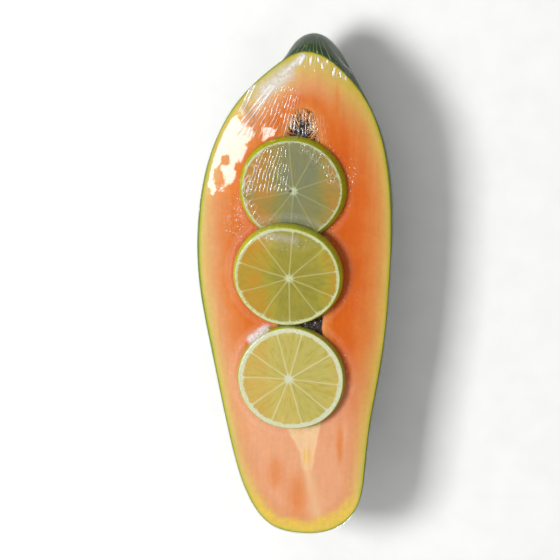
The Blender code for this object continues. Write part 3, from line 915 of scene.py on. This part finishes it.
def makeLime(spec, tilt, number):
    # Rings from the middle of the upper face out to the peel, down the side and back under the slice.
    count = limes["around"]
    turn = np.linspace(0, 2 * math.pi, count, endpoint=False)
    direction = np.column_stack([np.cos(turn), np.sin(turn)])
    top = spec["radius"] - spec["flare"] * 0.85
    thick = limes["thickness"]
    wobble = 1 + 0.006 * np.sin(3 * turn + number) + 0.004 * np.sin(5 * turn + 2 * number)
    radii, heights = [], []
    for share in np.linspace(0, 1, limes["topRings"] + 1):
        radii.append((top - 0.4) * share), heights.append(thick)
    for share in np.linspace(0, 1, limes["sideRings"] + 1)[1:]:
        swell = 0.4 * math.sin(math.pi * min(share * 2, 1) / 2) + 0.15 * math.sin(math.pi * share)
        radii.append(top - 0.4 + spec["flare"] * 0.85 * share + swell), heights.append(thick * (1 - share))
    for share in np.linspace(1, 0, limes["bottomRings"] + 1)[1:]:
        radii.append(spec["radius"] * share), heights.append(0.0)
    radii, heights = np.array(radii), np.array(heights)
    plan = (radii[:, None, None] * direction[None] * wobble[None, :, None]).reshape(-1, 2)
    height = np.repeat(heights, count)
    radius = np.repeat(radii, count)
    ringIndex = np.repeat(np.arange(len(radii)), count)
    onTop = ringIndex <= limes["topRings"]
    side = ~onTop & (ringIndex <= limes["topRings"] + limes["sideRings"])
    fromHub = plan - np.array(spec["hub"])
    reach = np.linalg.norm(fromHub, axis=1)
    # The membranes wander a little on their way out.
    angle = np.arctan2(fromHub[:, 1], fromHub[:, 0]) + 0.035 * valueNoise(fromHub, 11.0, 30 + number)
    wall, segment = signedWall(angle, reach, spec["walls"])
    tones = np.random.default_rng(60 + number).uniform(0, 1, len(spec["walls"]) + 1)
    swayed = 0.35 * valueNoise(plan, 6.0, 20 + number)
    star = 0.5 * np.abs(wall) / np.maximum(reach, 0.5)
    peelGap = np.where(side, 3.0, radius - (top - spec["peel"]) + 0.3 * swayed)
    middle = cavityMiddle(plan[:, 1] + spec["centre"][1])
    fromCavity = np.abs(plan[:, 0] + spec["centre"][0] - middle) - fruit["cavityHalfWidth"]
    fromCavity = fromCavity + spec["bare"] + 4.0 * valueNoise(plan, 9.0, 50 + number)
    sacs = valueNoise(np.column_stack([np.cos(angle) * 9, np.sin(angle) * 9, reach * 0.3]), 1.0, 40 + number)
    pit = np.linalg.norm(fromHub + np.array([1.5, 0.1]), axis=1) - 0.8
    relief = 0.04 * (sacs - 1) * smoothStep(0.2, 0.8, np.abs(wall))
    relief = relief * smoothStep(1.0, 3.0, top - spec["pith"] - radius)
    dip = -0.6 * smoothStep(0.4, -0.4, pit) * spec["pit"]
    height = height + np.where(onTop, relief + dip, 0)
    # Stand the slice on its foot, turned about that lowest edge.
    y = plan[:, 1] * spec["oval"]
    foot = spec["radius"] * spec["oval"]
    leanY = (y + foot) * math.cos(tilt) - height * math.sin(tilt) - foot
    leanZ = (y + foot) * math.sin(tilt) + height * math.cos(tilt) + limes["gap"]
    placed = np.column_stack([plan[:, 0] + spec["centre"][0], leanY + spec["centre"][1]])
    perRadian, perMm = limes["sacs"]
    values = {
        "wallGap": wall,
        "rimGap": top - spec["peel"] - spec["pith"] - radius + swayed,
        "hubGap": reach - spec["hubSize"] * (0.75 - star),
        "peelGap": peelGap,
        "pitGap": np.where(spec["pit"] * onTop > 0, pit, 5.0),
        "sacX": np.cos(angle) * perRadian,
        "sacY": np.sin(angle) * perRadian,
        "sacReach": reach * perMm,
        # Painted see-through: dark where seeds lie under the pulp, a shaded orange where flesh lies under it.
        "overSeeds": smoothStep(3.0, -3.0, fromCavity) * spec["seedsSeen"],
        "fleshSeenThrough": smoothStep(1.0, 9.0, fromCavity) * 0.85,
        "segment": tones[segment],
    }
    piece = makePiece(
        spec["node"].replace("lime_slice", "lime_disc"),
        toRow(placed, leanZ),
        ringFaces(len(radii), count),
        [limeCut(f"limeSliceCut{number}", spec)],
        values,
    )
    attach(piece, "root")
    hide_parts(spec["node"])
    return piece


for number, (spec, tilt) in enumerate(zip(limes["slices"], limeTilts()), start=1):
    makeLime(spec, tilt, number)
print("lime slices made")


# ---- cling film

film = {
    "stations": 340,  # steps down each side, finer than the fruit's
    "offset": 0.22,  # mm off the fruit
    "shoulderGap": 0.1,  # mm more over the skin's shoulder, then down the back
    "backGap": 0.35,
    "cell": 1.0,  # mm, grid on which the stretched sheet is worked out
    "rounds": 1200,
    "load": 0.0008,
    "soften": 5,  # rounds of smoothing that take the crease off the line where the sheet lifts
    "freeReach": 0.8,  # mm from a slice within which the sheet hangs free; beyond it the sheet clings
    "facets": (  # where it stands off the flesh in a flat slope: centre, half sizes, turn in degrees, way down, fall
        {"centre": (-33.5, 67.5), "half": (20.5, 14.0), "turn": 62.0, "down": (-0.92, 0.39), "fall": 0.213},
        {"centre": (-20.0, 77.2), "half": (13.5, 4.8), "turn": 14.0, "down": (-0.92, 0.39), "fall": 0.213},
    ),
    "islands": (  # where it clings inside those: centre, half sizes
        ((-19.5, 87.0), (7.0, 3.6)),
        ((-19.5, 73.8), (4.2, 2.4)),
        ((-33.5, 65.3), (2.6, 3.0)),
        ((-36.5, 57.0), (3.6, 6.5)),
        ((-26.0, 61.0), (2.4, 4.0)),
    ),
    "hazesAndGlare": (  # milky smears, partly the film's haze and partly painted glare: from, to, half width in mm, strength
        ((4.5, 116.5), (-4.5, 108.5), 1.5, 0.8),
        ((-3.0, 108.5), (-14.0, 100.0), 4.0, 0.62),
        ((-12.0, 101.0), (-17.0, 95.5), 2.6, 0.35),
        ((-21.5, -25.8), (-13.5, -19.8), 1.9, 0.8),
        ((-11.0, 29.5), (2.0, 27.5), 2.2, 0.2),
    ),
    "folds": (  # gathered folds: from, to, half width, height in mm
        ((-18.7, 102.4), (-25.2, 88.2), 0.5, 0.1),
        ((-20.2, 102.6), (-26.6, 89.6), 0.45, 0.08),
        ((-11.4, 102.1), (-25.8, 84.2), 0.55, 0.11),
        ((-9.3, 101.7), (-24.6, 81.3), 0.5, 0.1),
        ((3.2, 112.6), (5.1, 116.4), 0.85, 0.16),
        ((8.4, 112.6), (9.0, 116.6), 0.6, 0.13),
        ((12.3, 113.7), (12.3, 116.4), 0.45, 0.1),
        ((14.5, 110.6), (14.0, 113.6), 0.55, 0.13),
        ((17.0, 113.0), (16.7, 115.0), 0.45, 0.1),
        ((19.6, 107.3), (20.4, 111.2), 0.6, 0.13),
        ((23.2, 106.6), (23.2, 109.4), 0.5, 0.1),
        ((25.9, 105.2), (25.6, 107.2), 0.5, 0.1),
    ),
    "topRings": 76,
    "shoulderRings": 4,
    "backRings": 18,
    "backAngle": 76.0,  # degrees below the widest level where the gathered edge stops
    "fanPole": (9.0, 131.0),  # the creases converge past the blossom end
    "tallest": 4.9,  # mm, the most that it stands off the flesh
    "creaseSharp": 0.36,  # share of a half crease that stays flat
    "streakSharp": 0.43,
    "netWidth": 0.09,  # half width of a crackle line, in cells of the net
    "beadLevel": 0.6,  # how high the noise has to reach to leave a bead
    "glossLimit": 0.11,  # most that the sheet sends back
    "milkAndGlintLimit": 0.75,
    "waves": 0.05,  # mm, height of the slow waves where the sheet hangs free
    "creasesPerRadian": (26, 44),  # over the flesh, and over the slice and the rind
    "streaksPerRadian": 6.5,  # the coarser creases over the rind
    "creaseSlope": 0.27,
    "whiteningAndGlints": 10.0,  # share of milky white, partly painted glints, for each mm of a crease's height
    "mirror": 0.058,  # share of light that the two faces send back, seen square on
}


def sliceReach(points, spec):
    # Distance outside the slice's upper rim in mm, less than 0 inside it.
    x = points[..., 0] - spec["centre"][0]
    y = (points[..., 1] - spec["centre"][1]) / spec["oval"]
    return np.sqrt(x * x + y * y) - (spec["radius"] - spec["flare"] * 0.8)


def sliceLift(points, spec, tilt):
    # Height of the slice's upper face over the cut face, with the film's own distance.
    lift = limes["gap"] + limes["thickness"] + film["offset"]
    return lift + (points[..., 1] - spec["centre"][1] + spec["radius"] * spec["oval"]) * math.sin(tilt)


def neighbourMean(grid):
    # For each inner cell, the mean of the four beside it.
    return (grid[2:, 1:-1] + grid[:-2, 1:-1] + grid[1:-1, 2:] + grid[1:-1, :-2]) / 4


def stretchedHeights():
    # The sheet stretched over the slices: each free cell takes the mean of its four neighbours less a small
    # load and never sinks below what lies under it. Elsewhere it clings to the wet flesh.
    cell = film["cell"]
    xs = np.arange(-56, 57, cell)
    ys = np.arange(-134, 127, cell)
    gridX, gridY = np.meshgrid(xs, ys)
    points = np.stack([gridX, gridY], -1)
    flat = points.reshape(-1, 2)
    inside = insideOf(outlines["cut"], flat).reshape(gridX.shape)
    floor = np.full(gridX.shape, film["offset"])
    nearest = np.full(gridX.shape, 99.0)
    for spec, tilt in zip(limes["slices"], limeTilts()):
        reach = sliceReach(points, spec)
        floor = np.maximum(floor, np.where(reach < 0, sliceLift(points, spec, tilt), 0))
        nearest = np.where(reach < 0, nearest, np.minimum(nearest, reach))
    ragged = valueNoise(flat, 5.0, 71, 4).reshape(gridX.shape)
    rim = distanceTo(outlines["cut"], flat).reshape(gridX.shape)
    bare = floor.copy()
    stands, loose = np.zeros(gridX.shape), np.zeros(gridX.shape)
    for facet in film["facets"]:
        c, s = math.cos(math.radians(facet["turn"])), math.sin(math.radians(facet["turn"]))
        fromCentre = points - np.array(facet["centre"])
        halfLong, halfWide = facet["half"]
        along = (fromCentre[..., 0] * c + fromCentre[..., 1] * s) / halfLong
        over = (fromCentre[..., 1] * c - fromCentre[..., 0] * s) / halfWide
        shape = np.hypot(along, over) + 0.3 * ragged
        share = smoothStep(1.2, 1.05, shape) * smoothStep(0.6, 1.8, rim)
        loose = np.maximum(loose, smoothStep(1.12, 0.72, shape))
        downX, downY = facet["down"]
        extent = math.hypot(halfLong * (downX * c + downY * s), halfWide * (downY * c - downX * s))
        uphill = extent - fromCentre[..., 0] * downX - fromCentre[..., 1] * downY
        rise = np.clip(facet["fall"] * uphill, 0, film["tallest"])
        floor = np.maximum(floor, film["offset"] + rise * share)
        stands = np.maximum(stands, share)
    for centre, half in film["islands"]:
        reach = np.linalg.norm((points - np.array(centre)) / np.array(half), axis=-1)
        loose = loose * smoothStep(0.4, 1.35, reach + 0.35 * ragged)
    clings = nearest > film["freeReach"] + 0.6 * ragged
    heights = floor.copy()
    for _ in range(film["rounds"]):
        mean = neighbourMean(heights)
        heights[1:-1, 1:-1] = np.maximum(floor[1:-1, 1:-1], mean - film["load"])
        heights = np.where(clings | ~inside, np.where(inside, floor, film["offset"]), heights)
    for _ in range(film["soften"]):
        mean = neighbourMean(heights)
        heights[1:-1, 1:-1] = np.maximum(floor[1:-1, 1:-1], (heights[1:-1, 1:-1] + mean) / 2)
    hanging = smoothStep(0.15, 0.9, heights - bare)
    return xs, ys, heights, hanging, stands, loose


def foldLines(plan):
    # How far each point lies to the side of the nearest fold, in half widths, and that fold's height.
    nearest, sides, heights = np.full(len(plan), 99.0), np.full(len(plan), 9.0), np.zeros(len(plan))
    for start, end, half, tall in film["folds"]:
        run = np.array(end) - np.array(start)
        length = math.hypot(*run)
        along = (plan - np.array(start)) @ run / length
        aside = (plan - np.array(start)) @ np.array([-run[1], run[0]]) / length
        off = np.hypot(aside, np.maximum(np.abs(along - length / 2) - length / 2, 0))
        soft = half + 0.3
        present = tall * smoothStep(-soft, soft, along) * smoothStep(length + soft, length - soft, along)
        sides = np.where(off < nearest, aside / half, sides)
        heights = np.where(off < nearest, present, heights)
        nearest = np.minimum(nearest, off)
    return sides, heights


def hazeAndGlareOver(plan):
    # How milky the sheet is, from the nearest smear: partly haze of the film, partly painted glare.
    strongest = np.zeros(len(plan))
    for start, end, half, strength in film["hazesAndGlare"]:
        run = np.array(end) - np.array(start)
        share = np.clip((plan - np.array(start)) @ run / (run @ run), 0, 1)
        off = np.linalg.norm(plan - np.array(start) - share[:, None] * run, axis=1)
        strongest = np.maximum(strongest, strength * smoothStep(1.6, 0.1, off / half))
    return strongest


def sampleGrid(xs, ys, grid, points):
    # Bilinear reading of the grid.
    fx = np.clip((points[:, 0] - xs[0]) / (xs[1] - xs[0]), 0, len(xs) - 1.001)
    fy = np.clip((points[:, 1] - ys[0]) / (ys[1] - ys[0]), 0, len(ys) - 1.001)
    ix, iy = fx.astype(int), fy.astype(int)
    tx, ty = fx - ix, fy - iy
    lower = grid[iy, ix] * (1 - tx) + grid[iy, ix + 1] * tx
    upper = grid[iy + 1, ix] * (1 - tx) + grid[iy + 1, ix + 1] * tx
    return lower * (1 - ty) + upper * ty


def clearFilm():
    # Stretched food film: clear polyethylene, glossy, with fine creases along its pull.
    material, tree, value = newMaterial(
        "stretchFilmClear", "fanTurn", "fanReach", "creaseHeight", "crackleHeight", "streakHeight", "foldSide",
        "foldHeight", "beadHeight", "crinkled", "stands", "loose", "hazeAndGlare",
    )
    # Heights in mm: creases along the fan, a net of crackle, long streaks, and single gathered folds.
    fan = addNode(tree, "CombineXYZ", {"X": value["fanTurn"], "Y": value["fanReach"]})
    sway = noise(tree, fan, 0.35, 2.0)
    swayed = calc(tree, "MULTIPLY_ADD", sway, 2.0, value["fanTurn"])
    zigzag = calc(tree, "PINGPONG", swayed, 0.5)
    crease = calc(tree, "SUBTRACT", zigzag, film["creaseSharp"], use_clamp=True)
    breaks = noise(tree, value["place"], 260.0, 2.0)
    broken = spread(tree, breaks, 0.38, 0.52)
    crease = calc(tree, "MULTIPLY", crease, broken)
    height = calc(tree, "MULTIPLY", crease, value["creaseHeight"])
    net = addNode(
        tree, "TexVoronoi", {"Vector": fan, "Scale": 1.0}, feature="DISTANCE_TO_EDGE", voronoi_dimensions="2D"
    )
    crackle = calc(tree, "SUBTRACT", film["netWidth"], net, use_clamp=True)
    crackle = calc(tree, "MULTIPLY", crackle, broken)
    height = calc(tree, "MULTIPLY_ADD", crackle, value["crackleHeight"], height)
    coarse = film["streaksPerRadian"] / film["creasesPerRadian"][1]
    coarseTurn = calc(tree, "MULTIPLY", value["fanTurn"], coarse)
    zigzag = calc(tree, "MULTIPLY_ADD", sway, 0.12, coarseTurn)
    zigzag = calc(tree, "PINGPONG", zigzag, 0.5)
    streak = calc(tree, "SUBTRACT", zigzag, film["streakSharp"], use_clamp=True)
    height = calc(tree, "MULTIPLY_ADD", streak, value["streakHeight"], height)
    fold = calc(tree, "ABSOLUTE", value["foldSide"])
    fold = calc(tree, "SUBTRACT", 1.0, fold, use_clamp=True)
    height = calc(tree, "MULTIPLY_ADD", fold, value["foldHeight"], height)
    beads = noise(tree, value["place"], 1200.0, 2.0)
    dots = calc(tree, "SUBTRACT", beads, film["beadLevel"], use_clamp=True)
    height = calc(tree, "MULTIPLY_ADD", dots, value["beadHeight"], height)
    bump = addNode(tree, "Bump", {"Height": height, "Strength": 1.0, "Distance": 1.0 * mm})
    rough = calc(tree, "MULTIPLY_ADD", value["crinkled"], 0.45, 0.1)
    gloss = addNode(tree, "BsdfGlossy", {"Color": (0.62, 0.62, 0.62, 1.0), "Roughness": rough, "Normal": bump})
    clear = addNode(tree, "BsdfTransparent")
    # The share sent back grows from the square-on share with the fifth power of how far the sheet is turned away.
    turned = addNode(tree, "LayerWeight", {"Blend": 0.5, "Normal": bump}, out="Facing")
    power = calc(tree, "POWER", turned, 5.0)
    share = calc(tree, "MULTIPLY_ADD", power, 0.9, film["mirror"])
    share = calc(tree, "MINIMUM", share, film["glossLimit"])
    # In the ragged spots where the standing sheet touches the wet flesh it sends nothing back.
    speck = noise(tree, value["place"], 620.0, 4.0, 0.6)
    torn = calc(tree, "MULTIPLY_ADD", speck, 1.6, value["loose"])
    clung = spread(tree, torn, 1.48, 1.14)
    clung = calc(tree, "MULTIPLY", clung, value["stands"])
    lifted = calc(tree, "SUBTRACT", 1.0, clung)
    share = calc(tree, "MULTIPLY_ADD", value["stands"], 0.003, share)
    share = calc(tree, "MULTIPLY", share, lifted)
    mixed = addNode(tree, "MixShader", {0: share, 1: clear, 2: gloss})
    # Stretched and gathered creases turn milky, and this white is partly painted glints along the creases; the smears
    # add painted glare.
    milkAndGlints = calc(tree, "MULTIPLY", height, film["whiteningAndGlints"])
    smear = spread(tree, speck, 0.1, 0.55)
    milkAndGlints = calc(tree, "MULTIPLY_ADD", smear, value["hazeAndGlare"], milkAndGlints)
    milkAndGlints = calc(tree, "MINIMUM", milkAndGlints, film["milkAndGlintLimit"])
    white = addNode(tree, "BsdfDiffuse", {"Color": (0.85, 0.85, 0.84, 1.0)})
    mixed = addNode(tree, "MixShader", {0: milkAndGlints, 1: mixed, 2: white})
    addNode(tree, "OutputMaterial", {"Surface": mixed})
    return material


def makeFilm():
    # Rings from the middle of the tented top out to the cut edge, over it and down the rind to the gathered edge.
    lines = fruitOutlines(film["stations"])
    count = len(lines["cut"])
    xs, ys, heights, hanging, stands, loose = stretchedHeights()
    rings, levels = [], []
    edge = lines["cut"] + outward(lines["cut"]) * film["offset"]
    for share in np.linspace(0, 1, film["topRings"] + 1):
        plan = lines["spine"] + (edge - lines["spine"]) * share
        rings.append(plan), levels.append(sampleGrid(xs, ys, heights, plan))
    onTop = len(rings) * count
    for share in np.linspace(1, 0, film["shoulderRings"] + 1):
        plan, height = shoulderRing(lines, share, film["offset"] + film["shoulderGap"])
        rings.append(plan), levels.append(height)
    for degrees in np.linspace(0, film["backAngle"], film["backRings"] + 1)[1:]:
        plan, height = rindRing(lines, degrees, film["offset"] + film["backGap"])
        rings.append(plan), levels.append(height)
    plan = np.vstack(rings)
    height = np.concatenate(levels)
    x, y = plan.T
    top = np.arange(len(plan)) < onTop
    free = np.where(top, sampleGrid(xs, ys, hanging, plan), 0)
    rim = distanceTo(outlines["cut"], plan)
    held = smoothStep(0.5, 3.0, rim) * top
    height = height + free * held * film["waves"] * valueNoise(plan, 5.0, 31)
    fromPole = plan - np.array(film["fanPole"])
    angle = np.arctan2(fromPole[:, 0], -fromPole[:, 1])
    reach = np.linalg.norm(fromPole, axis=1)
    slice1 = sliceReach(plan, limes["slices"][0])
    ragged = valueNoise(plan, 6.0, 51)
    # Fine creases fan over the flesh left of the tip, and over the upper left of the first slice.
    fan = smoothStep(0.5, 3.0, slice1) * smoothStep(34, 27, slice1 + 4 * ragged) * smoothStep(6, -3, x + 3 * ragged)
    fan = fan * smoothStep(76, 80, y + 3 * ragged) * smoothStep(106, 99, y + 0.3 * x) * smoothStep(7, 11, rim)
    onSlice = smoothStep(0.0, -2, slice1) * smoothStep(49.0, 51.5, y + 2 * ragged) * smoothStep(1.0, -4.0, x)
    onSlice = onSlice * smoothStep(74, 71, y + 2 * ragged)
    upperRight = smoothStep(1, -1, slice1) * smoothStep(-9, -5, slice1) * smoothStep(52, 56, y) * smoothStep(2, 6, x)
    leftEdge = smoothStep(1, -0.5, slice1) * smoothStep(-7, -4, slice1) * smoothStep(-14, -18, x)
    overSeeds = stain(plan, (4.0, 82.0), (13.0, 9.0))
    stands = np.where(top, sampleGrid(xs, ys, stands, plan), 0)
    nearSlice = np.min([np.abs(sliceReach(plan, spec) - 2.5) for spec in limes["slices"]], axis=0)
    sparkle = 0.35 * smoothStep(3.0, 1.5, nearSlice) * (1 - stands)
    sparkle = sparkle + stain(plan, (-29.0, 36.0), (6.0, 13.0)) + 0.5 * stain(plan, (29.0, 60.0), (4.0, 9.0))
    sparkle = sparkle + stain(plan, (-12.0, 30.0), (8.0, 4.0)) + 0.25 * stain(plan, (33.0, -8.0), (4.0, 12.0))
    perRadian = np.where((slice1 > 0.2) & top, *film["creasesPerRadian"])
    period = film["creaseSlope"] * reach / perRadian
    foldSide, foldHeight = foldLines(plan)
    values = {
        "fanTurn": angle * perRadian,
        "fanReach": reach * 0.25,
        "creaseHeight": np.maximum.reduce([onSlice, 1.3 * fan, 0.8 * overSeeds]) * top * period,
        "crackleHeight": np.maximum.reduce([0.12 * fan, upperRight, leftEdge, 0.6 * overSeeds]) * top * period,
        "streakHeight": 0.6 * smoothStep(96, 106, y) * smoothStep(-13, -6, height) * ~top,
        "foldSide": foldSide,
        "foldHeight": foldHeight * top,
        "hazeAndGlare": hazeAndGlareOver(plan) * top,
        "stands": stands,
        "loose": np.where(top, sampleGrid(xs, ys, loose, plan), 0),
        "crinkled": smoothStep(4.5, 2.5, nearSlice) * smoothStep(62, 45, y + 0.5 * np.abs(x)) * top + 0.3 * stands,
        "beadHeight": 0.9 * np.clip(sparkle, 0, 1) * top,
    }
    piece = makePiece("film_wrap", toRow(plan, height), ringFaces(len(rings), count), [clearFilm()], values)
    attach(piece, "root")
    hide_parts("cling_film")
    return piece


makeFilm()
print("film made")


# ---- floor, light and camera

studio = {
    "aim": (-6.8, 5.4),  # mm, the point of the cut face in the middle of the view
    "lean": (8.0, 12.0),  # degrees that the view leans to +X and +Y from straight above
    "lens": 120.0,
    "sensor": 36.0,
    "span": 280.0,  # mm of the cut face across the view
    "floor": ("#f4f4f2", "#f8f8f6"),
    "world": 0.15,
    "lights": (  # direction from the cut face, distance and side in metres, power in watts
        {"name": "key", "from": (-0.547, 0.077, 0.833), "away": 0.97, "side": 0.32, "power": 8.3, "mirrored": True},
        {"name": "fillRight", "from": (0.75, -0.1, 0.65), "away": 1.3, "side": 1.0, "power": 1.8, "mirrored": False},
        {"name": "fillFront", "from": (0.1, -0.75, 0.65), "away": 1.3, "side": 1.0, "power": 3.6, "mirrored": False},
        {"name": "fillBack", "from": (-0.1, 0.75, 0.65), "away": 1.3, "side": 1.0, "power": 3.0, "mirrored": False},
        {"name": "fillLeft", "from": (-0.75, -0.2, 0.65), "away": 1.3, "side": 1.0, "power": 2.4, "mirrored": False},
    ),
}


def makeFloor():
    # Matt painted board.
    material, tree, value = newMaterial("studioBoardMatt")
    grain = noise(tree, value["place"], 60.0, 2.0)
    dark, light = studio["floor"]
    tone = ramp(tree, grain, (0.3, dark), (0.7, light))
    shader = addNode(tree, "BsdfPrincipled", {"Base Color": tone, "Roughness": 0.85})
    addNode(tree, "OutputMaterial", {"Surface": shader})
    half = 3.0
    corners = np.array([(-half, -half, 0), (half, -half, 0), (half, half, 0), (-half, half, 0)])
    makePiece("studio_floor", corners, [(0, 1, 2, 3)], [material])


def addSoftbox(box):
    light = bpy.data.lights.new(box["name"], "AREA")
    light.shape = "SQUARE"
    light.size = box["side"]
    light.energy = box["power"]
    lamp = bpy.data.objects.new(box["name"], light)
    bpy.context.scene.collection.objects.link(lamp)
    direction = Vector(box["from"]).normalized()
    lamp.location = Vector((0, 0, cutHeight)) + direction * box["away"]
    lamp.rotation_euler = direction.to_track_quat("Z", "Y").to_euler()
    lamp.visible_camera = False
    lamp.visible_glossy = box["mirrored"]


def addCamera():
    leanX, leanY = (math.radians(a) for a in studio["lean"])
    toward = Vector((math.tan(leanX), math.tan(leanY), 1.0)).normalized()
    side = Vector((0, 1, 0)).cross(toward).normalized()
    up = toward.cross(side)
    away = studio["lens"] / studio["sensor"] * studio["span"] * mm
    data = bpy.data.cameras.new("camera")
    data.lens = studio["lens"]
    data.sensor_width = studio["sensor"]
    data.clip_start = 0.01
    data.clip_end = 20.0
    camera = bpy.data.objects.new("camera", data)
    bpy.context.scene.collection.objects.link(camera)
    aim = Vector((studio["aim"][0] * mm, studio["aim"][1] * mm, cutHeight))
    turn = Matrix((side, up, toward)).transposed()
    camera.matrix_world = Matrix.Translation(aim + toward * away) @ turn.to_4x4()
    bpy.context.scene.camera = camera


def makeWorld():
    world = bpy.data.worlds.new("studio")
    bpy.context.scene.world = world
    world.use_nodes = True
    background = world.node_tree.nodes["Background"]
    background.inputs["Color"].default_value = (1, 1, 1, 1)
    background.inputs["Strength"].default_value = studio["world"]
    bpy.context.scene.view_settings.view_transform = "Standard"


makeFloor()
makeWorld()
for box in studio["lights"]:
    addSoftbox(box)
addCamera()
print("studio made")
